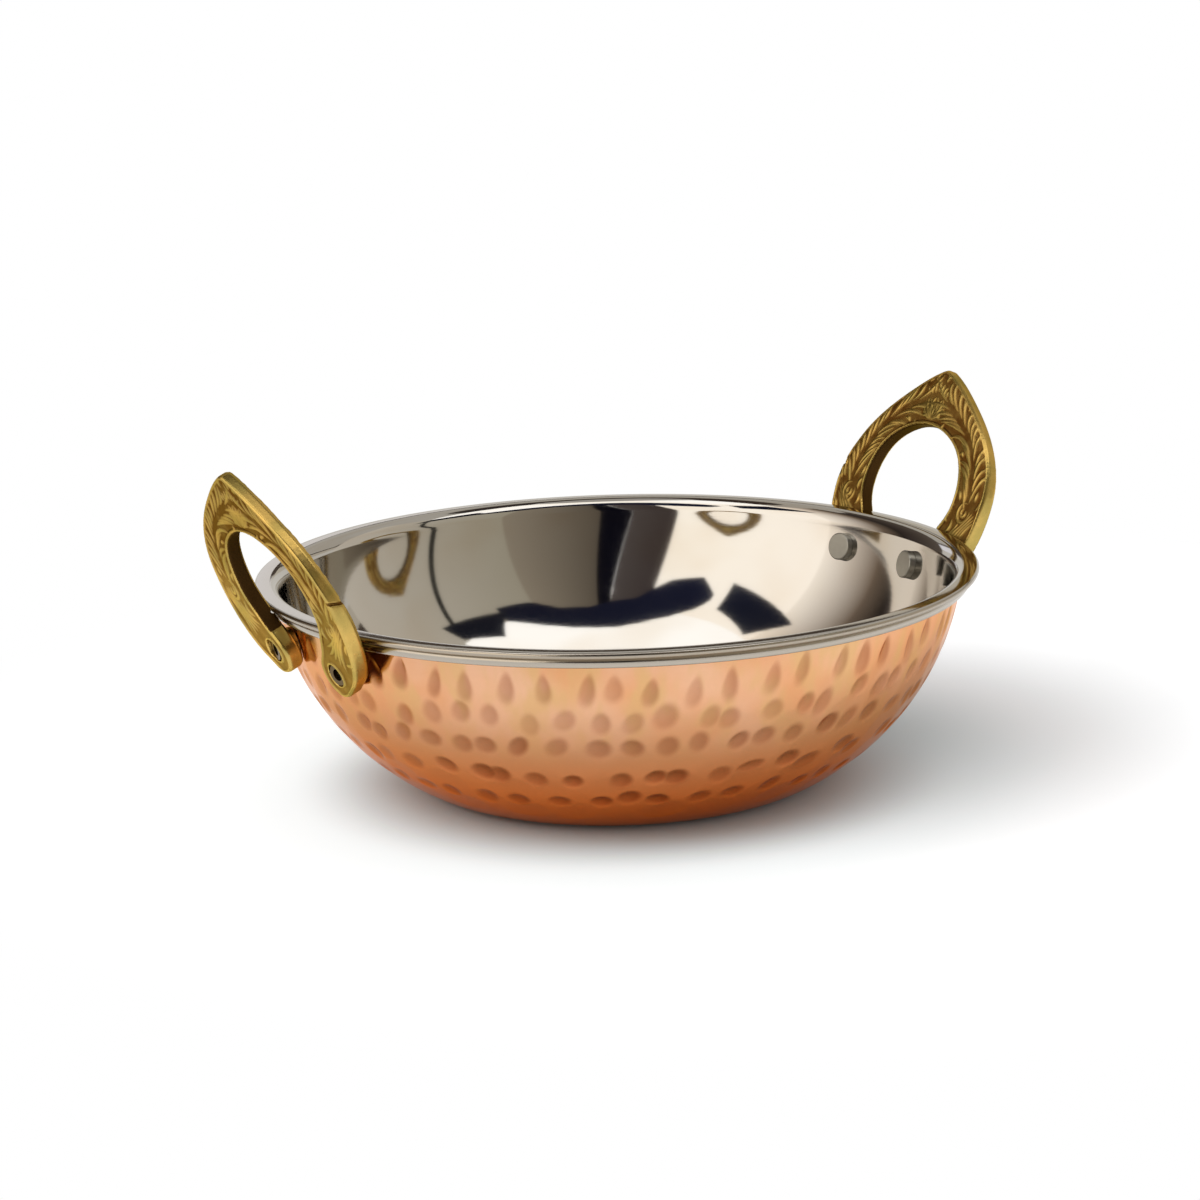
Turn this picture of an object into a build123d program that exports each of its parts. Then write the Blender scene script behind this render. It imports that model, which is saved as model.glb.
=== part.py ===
from build123d import *

import os
from math import asin, atan2, cos, degrees, hypot, radians, sin, sqrt

# A small double-walled serving kadai: a polished steel liner with a rolled rim sits in a
# copper bowl, and a flat cast brass handle is held at each side by two rivets.
# Millimetres, +Z up. The origin is the middle of the base, and the handles lie along X.

# Bowl as a whole
rim_radius = 75.0
bowl_height = 45.0
base_radius = 39.0          # where the side's arc would meet the table
base_round = 20.0           # rounds the corner between the flat base and the side
wall_arc_radius = 54.0      # roundness of the side, seen in section
copper_set_in = 3.8         # outside of the copper at its top edge, in from the rim

# Walls
copper_thickness = 0.8
liner_thickness = 1.0
nest_gap = 0.05             # between the copper and the liner

# Rolled rim of the liner
rim_band = 3.5              # top of the lip to the underside of the bead
lip_width = 3.0             # from the rim to where the lip turns down into the bowl
lip_thickness = 1.3
flare_drop = 2.8            # height of the turn from the side into the lip
groove_depth = 2.5          # from the rim in to the bottom of the groove under the lip
bead_reach = 0.9            # how far the bead stands out of the groove

# Handles, measured along the plate, whose zero line is level with the top of the lip
handle_width = 50.4
handle_thickness = 3.4
arch_height = 34.3
apex_round = 2.2
apex_fall = 24.0            # degrees that each flank falls away from the apex
edge_round = 0.7
handle_lean = 22.7          # degrees outward from upright
handle_set_in = 1.1         # plate's inner face inside the rim's circle, at its middle
handle_gap = 0.15           # between a handle and the bowl that carries it
hole_width = 31.0
hole_height = 21.4

# Feet of the handles
rivet_spacing = 24.8
rivet_drop = 9.0            # rivets under the lip's level, along the plate
foot_radius = 4.7
heel_angle = -52.0          # where the outer edge runs into the foot's round
instep_angle = 165.0        # where the foot's round runs into the inner edge
boss_diameter = 7.0         # behind each foot, against the copper
notch_rise = 8.0            # small slot across the outer side of one leg, above the lip
notch_height = 0.5
notch_depth = 0.8

# Rivets
head_diameter = 6.0
head_thickness = 1.6
head_round = 0.3
shank_diameter = 3.6
shank_gap = 0.05            # round the shank, in its holes
seat_gap = 0.05             # under the head and under the rolled tail
tail_diameter = 4.4
tail_thickness = 0.5
tail_bore = 2.5
tail_bore_depth = 2.6
recess_diameter = 4.9
recess_depth = 1.0          # on the rivet's axis

overrun = 2.0               # how far a cutting shape passes what it cuts

# Shares of the sizes that they follow. The flank's are of the handle's half width and of
# the arch's height, the heel's are of the foot's radius, measured from the rivet, and the
# hole's are of its own half width and height.
flank_shares = ((0.40, 0.83), (0.78, 0.583), (0.985, 0.30), (1.0, 0.16), (0.93, -0.11))
heel_shares = ((1.83, 0.23), (1.36, -0.25))
hole_shares = ((0.70, -0.165), (0.84, 0.0), (0.955, 0.147), (1.0, 0.40), (0.796, 0.757), (0.37, 0.954))

handle_turns = {"right": 0.0, "left": 180.0}
rivet_sides = {"front": -1, "rear": 1}

# Places that follow. An inset is measured inward from the copper's outside.
copper_top_radius = rim_radius - copper_set_in
groove_radius = rim_radius - groove_depth
handle_stand = rim_radius - handle_set_in
rim_bottom = bowl_height - rim_band
copper_top = rim_bottom - nest_gap
lip_underside = bowl_height - lip_thickness
flare_height = bowl_height - flare_drop
liner_outside = copper_thickness + nest_gap
liner_inside = liner_outside + liner_thickness


def arc_centre():
    """Centre (radius, height) of the arc that the bowl's side follows in section."""
    across = copper_top_radius - base_radius
    chord = hypot(across, copper_top)
    stand_off = sqrt(wall_arc_radius**2 - (chord / 2) ** 2)
    middle = ((base_radius + copper_top_radius) / 2, copper_top / 2)
    return (middle[0] - stand_off * copper_top / chord, middle[1] + stand_off * across / chord)


centre_radius, centre_height = arc_centre()


def wall_radius(inset, height):
    """Radius of the bowl's side at a height, on the surface that lies at an inset."""
    return centre_radius + sqrt((wall_arc_radius - inset) ** 2 - (centre_height - height) ** 2)


def filled_bowl(inset, top):
    """Section from the axis out to the surface at an inset, up to a height."""
    corner = (wall_radius(inset, inset), inset)
    brim = (wall_radius(inset, top), top)
    with BuildSketch() as section:
        with BuildLine():
            Polyline((0, top), (0, inset), corner)
            RadiusArc(corner, brim, -(wall_arc_radius - inset))
            Line(brim, (0, top))
        make_face()
        fillet(section.vertices().sort_by_distance(corner)[0], base_round - inset)
    return section.sketch


def rolled_rim():
    """Section of the liner's rim: the flare, the flat lip, the groove and the bead."""
    inner = (wall_radius(liner_inside, flare_height), flare_height)
    outer = (wall_radius(liner_outside, flare_height), flare_height)
    under = (wall_radius(liner_outside, rim_bottom), rim_bottom)
    slope = asin((centre_height - flare_height) / (wall_arc_radius - liner_inside))
    lip_start = rim_radius - lip_width
    lip_end = rim_radius - lip_thickness / 2
    bead_middle = (lip_underside + rim_bottom) / 2
    with BuildSketch() as section:
        with BuildLine():
            Spline(inner, (lip_start, bowl_height), tangents=[(sin(slope), cos(slope)), (1, 0)])
            Line((lip_start, bowl_height), (lip_end, bowl_height))
            ThreePointArc(
                (lip_end, bowl_height),
                (rim_radius, (bowl_height + lip_underside) / 2),
                (lip_end, lip_underside),
            )
            Line((lip_end, lip_underside), (groove_radius, lip_underside))
            ThreePointArc(
                (groove_radius, lip_underside),
                (groove_radius + bead_reach, bead_middle),
                (groove_radius, rim_bottom),
            )
            Polyline((groove_radius, rim_bottom), under, outer, inner)
        make_face()
    return section.sketch


def handle_keep_out():
    """Section that the handles stay out of: the filled bowl, grown by the handles' gap."""
    bead = (groove_radius + bead_reach, rim_bottom, lip_underside)
    lip = (rim_radius, lip_underside, bowl_height)
    with BuildSketch() as section:
        add(filled_bowl(-handle_gap, rim_bottom))
        for reach, low, high in (bead, lip):
            with Locations((0, low - handle_gap)):
                Rectangle(reach + handle_gap, high - low + 2 * handle_gap, align=Align.MIN)
    return section.sketch


def handle_plane(turn):
    """The inner face of a handle: x along the rim, y up the plate, z out through it."""
    out = Vector(1, 0, 0).rotate(Axis.Z, turn)
    along = Vector(0, 1, 0).rotate(Axis.Z, turn)
    normal = out.rotate(Axis((0, 0, 0), along), handle_lean)
    return Plane(origin=out * handle_stand + Vector(0, 0, bowl_height), x_dir=along, z_dir=normal)


def rivet_plane(turn, side):
    """A rivet's plane on the liner's inside: z runs out through the wall, square to it."""
    seat = handle_plane(turn).from_local_coords(Vector(side * rivet_spacing / 2, -rivet_drop, 0))
    bearing = degrees(atan2(seat.Y, seat.X))
    reach = Vector(hypot(seat.X, seat.Y) - centre_radius, 0, seat.Z - centre_height).normalized()
    inside = Vector(centre_radius, 0, centre_height) + reach * (wall_arc_radius - liner_inside)
    return Plane(origin=inside.rotate(Axis.Z, bearing), z_dir=reach.rotate(Axis.Z, bearing))


def recess_floor(turn, side):
    """Distance along a rivet, from the liner's inside to the recess's floor in the handle."""
    plate = handle_plane(turn)
    rivet = rivet_plane(turn, side)
    to_face = plate.origin + plate.z_dir * handle_thickness - rivet.origin
    return to_face.dot(plate.z_dir) / rivet.z_dir.dot(plate.z_dir) - recess_depth


def handle_outline():
    """A handle's outline: a pointed arch on two round feet."""
    foot = Vector(rivet_spacing / 2, -rivet_drop)
    heel = foot + Vector(foot_radius, 0).rotate(Axis.Z, heel_angle)
    sole = foot - Vector(0, foot_radius)
    instep = foot + Vector(foot_radius, 0).rotate(Axis.Z, instep_angle)
    flank = [(handle_width / 2 * x, arch_height * y) for x, y in flank_shares]
    flank += [(foot.X + foot_radius * x, foot.Y + foot_radius * y) for x, y in heel_shares]
    hole = [(hole_width / 2 * x, hole_height * y) for x, y in hole_shares]
    into_foot = Vector(0, -1).rotate(Axis.Z, heel_angle)
    out_of_foot = Vector(0, -1).rotate(Axis.Z, instep_angle)
    with BuildSketch() as outline:
        with BuildLine():
            apex = JernArc((0, arch_height), (1, 0), apex_round, -apex_fall)
            Spline(apex @ 1, *flank, heel, tangents=[apex % 1, into_foot])
            ThreePointArc(heel, sole, instep)
            Spline(instep, *hole, (0, hole_height), tangents=[out_of_foot, (-1, 0)])
            Line((0, hole_height), (0, arch_height))
        make_face()
        mirror(about=Plane.YZ)
    return outline.sketch


def build_handle(turn):
    """One handle, fitted over the rim and against the copper, with its rivets' holes."""
    plate = handle_plane(turn)
    level = Plane.XY.offset(bowl_height + notch_rise).rotated((0, 0, turn))
    with BuildPart() as handle:
        with BuildSketch(plate):
            add(handle_outline())
        extrude(amount=handle_thickness)
        fillet(handle.faces().filter_by(Axis(plate.origin, plate.z_dir)).edges(), edge_round)
        with BuildSketch(level):
            with Locations((handle_stand, handle_width / 2 - notch_depth)):
                Rectangle(handle_width, notch_depth + overrun, align=(Align.CENTER, Align.MIN))
        extrude(amount=notch_height, mode=Mode.SUBTRACT)
        for side in rivet_sides.values():
            with BuildSketch(rivet_plane(turn, side)):
                Circle(boss_diameter / 2)
            extrude(amount=recess_floor(turn, side))
        with BuildSketch(Plane.XZ):
            add(handle_keep_out())
        revolve(axis=Axis.Z, mode=Mode.SUBTRACT)
        for side in rivet_sides.values():
            with BuildSketch(rivet_plane(turn, side)):
                Circle(shank_diameter / 2 + shank_gap)
            extrude(amount=recess_floor(turn, side) + overrun, mode=Mode.SUBTRACT)
            with BuildSketch(rivet_plane(turn, side).offset(recess_floor(turn, side))):
                Circle(recess_diameter / 2)
            extrude(amount=recess_depth + overrun, mode=Mode.SUBTRACT)
    return handle


def build_rivet(turn, side):
    """A rivet from its head in the bowl to the rolled tail in the handle's recess."""
    rivet_end = recess_floor(turn, side) + seat_gap + tail_thickness
    inside = rivet_plane(turn, side)
    with BuildPart() as rivet:
        with BuildSketch(inside.offset(-head_thickness)):
            Circle(head_diameter / 2)
        extrude(amount=head_thickness + overrun)
        fillet(rivet.edges().sort_by(Axis(inside.origin, inside.z_dir))[0], head_round)
        with BuildSketch(Plane.XZ):
            add(filled_bowl(liner_inside + seat_gap, bowl_height))
        revolve(axis=Axis.Z, mode=Mode.INTERSECT)
        with BuildSketch(inside.offset(-head_thickness / 2)):
            Circle(shank_diameter / 2)
        extrude(amount=head_thickness / 2 + rivet_end)
        with BuildSketch(inside.offset(rivet_end)):
            Circle(tail_diameter / 2)
        extrude(amount=-tail_thickness)
        with BuildSketch(inside.offset(rivet_end)):
            Circle(tail_bore / 2)
        extrude(amount=-tail_bore_depth, mode=Mode.SUBTRACT)
    return rivet


# Outer bowl, copper
with BuildPart() as copper_bowl:
    with BuildSketch(Plane.XZ):
        add(filled_bowl(0, copper_top))
        add(filled_bowl(copper_thickness, copper_top), mode=Mode.SUBTRACT)
    revolve(axis=Axis.Z)
    for turn in handle_turns.values():
        for side in rivet_sides.values():
            with BuildSketch(rivet_plane(turn, side)):
                Circle(shank_diameter / 2 + shank_gap)
            extrude(amount=liner_inside + overrun, mode=Mode.SUBTRACT)

# Liner, polished steel, with its rim rolled out over the copper's edge
with BuildPart() as steel_liner:
    with BuildSketch(Plane.XZ):
        add(filled_bowl(liner_outside, flare_height))
        add(filled_bowl(liner_inside, flare_height), mode=Mode.SUBTRACT)
        add(rolled_rim())
    revolve(axis=Axis.Z)
    for turn in handle_turns.values():
        for side in rivet_sides.values():
            with BuildSketch(rivet_plane(turn, side).offset(-overrun)):
                Circle(shank_diameter / 2 + shank_gap)
            extrude(amount=liner_inside + overrun, mode=Mode.SUBTRACT)

copper_bowl.part.label = "copper_bowl"
steel_liner.part.label = "steel_liner"

os.makedirs("parts", exist_ok=True)
export_step(copper_bowl.part, "parts/copper_bowl.step")
export_step(steel_liner.part, "parts/steel_liner.step")

# Handles and their rivets
for hand, turn in handle_turns.items():
    handle = build_handle(turn)
    handle.part.label = f"handle_{hand}"
    export_step(handle.part, f"parts/handle_{hand}.step")
    for place, side in rivet_sides.items():
        rivet = build_rivet(turn, side)
        rivet.part.label = f"rivet_{hand}_{place}"
        export_step(rivet.part, f"parts/rivet_{hand}_{place}.step")
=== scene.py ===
"""Dress a small serving kadai: a steel bowl in hammered copper, with engraved brass handles.

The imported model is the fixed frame. The lathe-turned bowls and the two handles are rebuilt
here as finer meshes in the same places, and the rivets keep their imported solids. Everything
is in metres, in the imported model's frame: +Z up, the handles along X, the base at the origin.
"""

from __future__ import annotations

import logging
import math
from collections.abc import Callable
from dataclasses import dataclass
from enum import Enum
from typing import Any

import bpy
import numpy as np
from mathutils import Matrix, Vector
from mathutils.kdtree import KDTree

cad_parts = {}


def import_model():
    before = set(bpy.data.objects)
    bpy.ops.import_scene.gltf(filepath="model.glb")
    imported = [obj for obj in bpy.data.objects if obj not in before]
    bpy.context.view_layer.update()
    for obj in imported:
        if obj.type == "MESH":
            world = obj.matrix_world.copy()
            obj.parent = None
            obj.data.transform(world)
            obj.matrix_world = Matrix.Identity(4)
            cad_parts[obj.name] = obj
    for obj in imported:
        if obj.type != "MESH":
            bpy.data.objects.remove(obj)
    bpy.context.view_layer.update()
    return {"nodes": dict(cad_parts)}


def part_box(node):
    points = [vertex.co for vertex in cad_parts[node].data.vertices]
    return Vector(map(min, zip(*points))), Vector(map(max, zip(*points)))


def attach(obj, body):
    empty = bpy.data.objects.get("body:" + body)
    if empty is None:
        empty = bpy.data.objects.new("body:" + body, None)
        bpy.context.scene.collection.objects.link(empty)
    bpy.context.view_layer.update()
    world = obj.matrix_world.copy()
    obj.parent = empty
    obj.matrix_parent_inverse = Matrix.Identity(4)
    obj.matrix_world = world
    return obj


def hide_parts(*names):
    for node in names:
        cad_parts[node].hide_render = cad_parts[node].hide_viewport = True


MM = 0.001
Pair = tuple[float, float]
Triple = tuple[float, float, float]
Colour = Triple
Array = np.ndarray
Dice = np.random.Generator
Material = bpy.types.Material
Piece = bpy.types.Object
WHITE: Colour = (1.0, 1.0, 1.0)

log = logging.getLogger("kadai")


class Slot(Enum):
    """Material slot names, not used in this script."""

    COPPER = "copper"
    STEEL = "steel"
    BRASS = "brass"
    RIVET = "rivet"


class Field(Enum):
    """Names of the values that the meshes hand to their finishes, point by point."""

    MARK_AND_SHADE = "mark_and_shade"
    HOLLOW_AND_SHADE = "hollow_and_shade"
    DULL_AND_SHADE = "dull_and_shade"
    TINT = "tint"


# Shader maths


def operator(operation: str, swapped: bool = False) -> Callable[[Signal, Any], Signal]:
    """A Python operator that adds one Math node; a reflected one swaps the two values."""

    def add_node(self: Signal, other: Any) -> Signal:
        """Add the node and return its value."""
        first, second = (other, self) if swapped else (self, other)
        settings = {"operation": operation}
        return self.sheet.node("ShaderNodeMath", settings, {0: first, 1: second})

    return add_node


class Signal:
    """A shader socket that can be used in Python sums."""

    __add__, __radd__ = operator("ADD"), operator("ADD", swapped=True)
    __sub__, __rsub__ = operator("SUBTRACT"), operator("SUBTRACT", swapped=True)
    __mul__, __rmul__ = operator("MULTIPLY"), operator("MULTIPLY", swapped=True)
    at_most = operator("MINIMUM")

    def __init__(self, sheet: ShaderSheet, socket: bpy.types.NodeSocket) -> None:
        """Keep the socket and the sheet of nodes that it belongs to."""
        self.sheet = sheet
        self.socket = socket

    def rising(self, low: float, high: float) -> Signal:
        """0 below a lower value, 1 above a higher one, smooth between them."""
        inputs = {"Value": self, "From Min": low, "From Max": high}
        return self.sheet.node("ShaderNodeMapRange", {"interpolation_type": "SMOOTHSTEP"}, inputs)


@dataclass(frozen=True)
class Grain:
    """A cloudy pattern: swells per metre, finer layers, own number, ramp and stretch by axis."""

    per_metre: float
    layers: float
    number: float
    ramp: Pair | None = None
    stretch: Triple | None = None


class ShaderSheet:
    """The nodes of one material or world, added one at a time."""

    def __init__(self, holder: Material | bpy.types.World) -> None:
        """Clear the holder's nodes and give it only an output."""
        holder.use_nodes = True
        self.holder = holder
        self.tree = holder.node_tree
        self.tree.nodes.clear()
        kind = "World" if isinstance(holder, bpy.types.World) else "Material"
        self.output = self.tree.nodes.new("ShaderNodeOutput" + kind)

    @classmethod
    def named(cls, name: str) -> ShaderSheet:
        """A sheet for a new material."""
        return cls(bpy.data.materials.new(name))

    def node(
        self,
        kind: str,
        settings: dict[str, Any] | None = None,
        inputs: dict[Any, Any] | None = None,
        output: Any = None,
    ) -> Signal:
        """Add a node.

        Args:
            kind: Blender's name of the node type.
            settings: the node's own settings, set first.
            inputs: values or signals of its sockets, by name or number.
            output: name or number of the wanted output; the first one in use when left out.

        Returns:
            The wanted output as a signal.
        """
        made = self.tree.nodes.new(kind)
        for key, value in (settings or {}).items():
            setattr(made, key, value)
        for key, value in (inputs or {}).items():
            socket = made.inputs[key]
            if isinstance(value, Signal):
                self.tree.links.new(value.socket, socket)
            elif isinstance(value, tuple) and len(value) == 3 and socket.type == "RGBA":
                socket.default_value = (*value, 1.0)
            else:
                socket.default_value = value
        if output is None:
            output = next(i for i, s in enumerate(made.outputs) if s.enabled)
        return Signal(self, made.outputs[output])

    def field(self, name: Field, output: str = "Fac") -> Signal:
        """A number or colour that the mesh carries point by point."""
        return self.node("ShaderNodeAttribute", {"attribute_name": name.value}, output=output)

    def place(self) -> Signal:
        """The point's place on the object, in metres."""
        return self.node("ShaderNodeTexCoord", output="Object")

    def grain(self, where: Signal, grain: Grain) -> Signal:
        """A cloudy pattern from 0 to 1, sharpened where it has a ramp."""
        if grain.stretch:
            where = self.scaled(where, grain.stretch)
        inputs = {"Vector": where, "W": grain.number}
        inputs |= {"Scale": grain.per_metre, "Detail": grain.layers}
        noise = self.node("ShaderNodeTexNoise", {"noise_dimensions": "4D"}, inputs, "Fac")
        return noise.rising(*grain.ramp) if grain.ramp else noise

    def scaled(self, where: Signal, factors: Triple) -> Signal:
        """A place signal scaled by axis."""
        return self.node("ShaderNodeVectorMath", {"operation": "MULTIPLY"}, {0: where, 1: factors})

    def reach(self, where: Signal, centre: Triple = (0.0, 0.0, 0.0)) -> Signal:
        """Distance of a place signal from a centre."""
        settings = {"operation": "DISTANCE"}
        return self.node("ShaderNodeVectorMath", settings, {0: where, 1: centre}, "Value")

    def seen(self) -> Signal:
        """1 for rays from the camera, off metal or through glass, 0 for the others."""
        names = ("Is Camera Ray", "Is Glossy Ray", "Is Transmission Ray")
        camera, glossy, clear = (self.node("ShaderNodeLightPath", None, None, n) for n in names)
        return (camera + glossy + clear).at_most(1.0)

    def mix(self, share: Any, first: Any, second: Any, blend: str = "MIX") -> Signal:
        """Mix two colours.

        Args:
            share: 0 gives the first colour and 1 the second.
            first: colour or signal.
            second: colour or signal.
            blend: how the second is laid over the first.

        Returns:
            The mixed colour.
        """
        settings = {"data_type": "RGBA", "blend_type": blend}
        return self.node("ShaderNodeMix", settings, {0: share, 6: first, 7: second}, 2)

    def bump(self, height: Signal, depth: float) -> Signal:
        """Normals of a fine relief of a given depth in metres."""
        inputs = {"Height": height, "Distance": depth, "Strength": 1.0}
        return self.node("ShaderNodeBump", None, inputs)

    def metal(self, **inputs: Any) -> Signal:
        """A metal surface; the names are those of the shader's sockets, spaces as underscores."""
        named = {key.replace("_", " "): value for key, value in inputs.items()}
        return self.node("ShaderNodeBsdfPrincipled", None, {"Metallic": 1.0, **named})

    def finish(self, shader: Signal) -> Any:
        """Join a shader to the output and return the material or world."""
        self.tree.links.new(shader.socket, self.output.inputs["Surface"])
        return self.holder


# Finishes


@dataclass(frozen=True)
class HammeredCopper:
    """Buffed copper, duller in the hammer marks, and redder and darker in them as painted shade;
    darker towards the base as painted shade.
    """

    ground: Colour = (0.80, 0.46, 0.285)
    warm: Colour = (0.76, 0.365, 0.175)
    # Yellow vertical streaks: random tone that also stands in for streaky highlights between the
    # hammer marks, a painted highlight.
    golden_sheen: Colour = (0.70, 0.43, 0.185)
    golden_sheen_share: float = 0.7
    # Painted shade: middle below mid height and deep near the base make the copper darker towards
    # the base, in place of the shadowed floor it reflects.
    middle: Colour = (0.53, 0.228, 0.098)
    mid_shade_heights: Pair = (17.0 * MM, 37.0 * MM)
    deep: Colour = (0.95, 0.225, 0.04)
    low_shade_heights: Pair = (3.0 * MM, 24.0 * MM)
    # Painted shade: the redder, darker tint of the hammer marks.
    mark_and_shade_tint: Colour = (0.50, 0.36, 0.31)
    mark_clouds: float = 0.15
    edge_tint: Colour = (0.95, 0.70, 0.54)
    roughness: float = 0.17
    mark_roughness: float = 0.26
    uneven: float = 0.08
    relief: float = 0.012 * MM
    clouds: Grain = Grain(45.0, 3.0, 1.0, (0.35, 0.65))
    streaks: Grain = Grain(190.0, 2.0, 9.0, (0.42, 0.66), (1.0, 1.0, 0.4))
    fine: Grain = Grain(900.0, 2.0, 2.0)

    def material(self) -> Material:
        """Build the material."""
        sheet = ShaderSheet.named("hammered_copper")
        where = sheet.place()
        clouds, fine = sheet.grain(where, self.clouds), sheet.grain(where, self.fine)
        mark_and_shade = sheet.field(Field.MARK_AND_SHADE)
        level = sheet.node("ShaderNodeSeparateXYZ", None, {0: where}, "Z")
        ground = sheet.mix(clouds, self.ground, self.warm)
        # Yellow streaks, partly a painted highlight.
        streaks = sheet.grain(where, self.streaks)
        ground = sheet.mix(self.golden_sheen_share * streaks, ground, self.golden_sheen)
        # Painted shade: darker towards the base.
        ground = sheet.mix(1.0 - level.rising(*self.mid_shade_heights), ground, self.middle)
        ground = sheet.mix(1.0 - level.rising(*self.low_shade_heights), ground, self.deep)
        # Painted shade: the darker tint of the hammer marks; they are also rougher.
        marked_and_shaded = mark_and_shade * (1.0 - self.mark_clouds + self.mark_clouds * clouds)
        rougher = mark_and_shade * (self.mark_roughness - self.roughness) + self.uneven * (fine - 0.5)
        return sheet.finish(sheet.metal(
            Base_Color=sheet.mix(marked_and_shaded, ground, self.mark_and_shade_tint, "MULTIPLY"),
            Roughness=self.roughness + rougher,
            Normal=sheet.bump(fine, self.relief),
            Specular_Tint=self.edge_tint,
        ))


@dataclass(frozen=True)
class PolishedSteel:
    """Near-mirror stainless steel with faint buffing haze, and painted shade under the rolled rim.
    """

    colour: Colour = (0.62, 0.595, 0.56)
    hazed: Colour = (0.53, 0.51, 0.48)
    haze_share: float = 0.2
    # Painted shade under the rolled rim: darker brown on its underside, groove and bead.
    dull_and_shade: Colour = (0.38, 0.32, 0.24)
    roughness: float = 0.045
    haze_roughness: float = 0.03
    streak_roughness: float = 0.02
    dull_roughness: float = 0.22
    relief: float = 0.002 * MM
    haze: Grain = Grain(60.0, 3.0, 3.0)
    streaks: Grain = Grain(140.0, 2.0, 4.0, None, (1.0, 1.0, 12.0))

    def material(self) -> Material:
        """Build the material."""
        sheet = ShaderSheet.named("polished_steel")
        where = sheet.place()
        haze, streaks = sheet.grain(where, self.haze), sheet.grain(where, self.streaks)
        # Painted shade under the rolled rim, which is also rougher there.
        dull_and_shade = sheet.field(Field.DULL_AND_SHADE)
        colour = sheet.mix(self.haze_share * haze, self.colour, self.hazed)
        rougher = self.haze_roughness * haze + self.streak_roughness * streaks
        return sheet.finish(sheet.metal(
            Base_Color=sheet.mix(dull_and_shade, colour, self.dull_and_shade),
            Roughness=self.roughness + rougher + dull_and_shade * self.dull_roughness,
            Normal=sheet.bump(streaks, self.relief),
        ))


@dataclass(frozen=True)
class EngravedBrass:
    """Cast brass, bright on the ridges and dark with patina in the engraving, with painted shade on
    the walls of the holes and a painted shadow line along the outer side of one leg.
    """

    bright: Colour = (0.72, 0.48, 0.135)
    olive: Colour = (0.48, 0.36, 0.10)
    patina: Colour = (0.20, 0.090, 0.018)
    patina_least: float = 0.62
    patina_grit: float = 0.2
    patina_stain: float = 0.3
    # Painted shade on the walls of the handles' holes, where the field is over 1.
    hole_shade: Colour = (0.045, 0.026, 0.010)
    hole_shade_gain: float = 2.0
    edge_tint: Colour = (0.82, 0.70, 0.42)
    roughness: float = 0.29
    hollow_roughness: float = 0.25
    uneven: float = 0.12
    relief: float = 0.014 * MM
    clouds: Grain = Grain(150.0, 3.0, 5.0, (0.35, 0.65))
    grit: Grain = Grain(1400.0, 3.0, 6.0)
    stain: Grain = Grain(320.0, 2.0, 8.0, (0.3, 0.7))

    def material(self) -> Material:
        """Build the material; a field value over 1 is painted shade, as on the walls of the holes.
        """
        sheet = ShaderSheet.named("engraved_brass")
        where = sheet.place()
        grit, stain = sheet.grain(where, self.grit), sheet.grain(where, self.stain)
        hollow_and_shade = sheet.field(Field.HOLLOW_AND_SHADE)
        metal = sheet.mix(sheet.grain(where, self.clouds), self.bright, self.olive)
        dark = hollow_and_shade * (self.patina_least + self.patina_grit * grit + self.patina_stain * stain)
        colour = sheet.mix(dark.at_most(1.0), metal, self.patina)
        rougher = self.hollow_roughness * hollow_and_shade + self.uneven * (grit - 0.5)
        return sheet.finish(sheet.metal(
            # Painted shade where the field is over 1.
            Base_Color=sheet.mix(self.hole_shade_gain * (hollow_and_shade - 1.0), colour, self.hole_shade),
            Roughness=self.roughness + rougher,
            Normal=sheet.bump(grit, self.relief),
            Specular_Tint=self.edge_tint,
        ))


@dataclass(frozen=True)
class RivetSteel:
    """Satin steel of the rivets."""

    colour: Colour = (0.42, 0.41, 0.37)
    worn: Colour = (0.30, 0.29, 0.26)
    worn_share: float = 0.35
    # Painted shade on the rivet tails in the handles' recesses.
    recess_shade: Colour = (0.14, 0.095, 0.04)
    recess_reach: Pair = (72.5 * MM, 74.0 * MM)
    roughness: float = 0.36
    uneven: float = 0.15
    relief: float = 0.015 * MM
    grain: Grain = Grain(1100.0, 3.0, 7.0)

    def material(self) -> Material:
        """Build the material, with painted shade where the tails lie in the handles' recesses."""
        sheet = ShaderSheet.named("rivet_steel")
        where = sheet.place()
        grain = sheet.grain(where, self.grain)
        across = sheet.reach(sheet.scaled(where, (1.0, 1.0, 0.0)))
        colour = sheet.mix(self.worn_share * grain, self.colour, self.worn)
        return sheet.finish(sheet.metal(
            Base_Color=sheet.mix(across.rising(*self.recess_reach), colour, self.recess_shade),
            Roughness=self.roughness + self.uneven * (grain - 0.5),
            Normal=sheet.bump(grain, self.relief),
        ))


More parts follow.
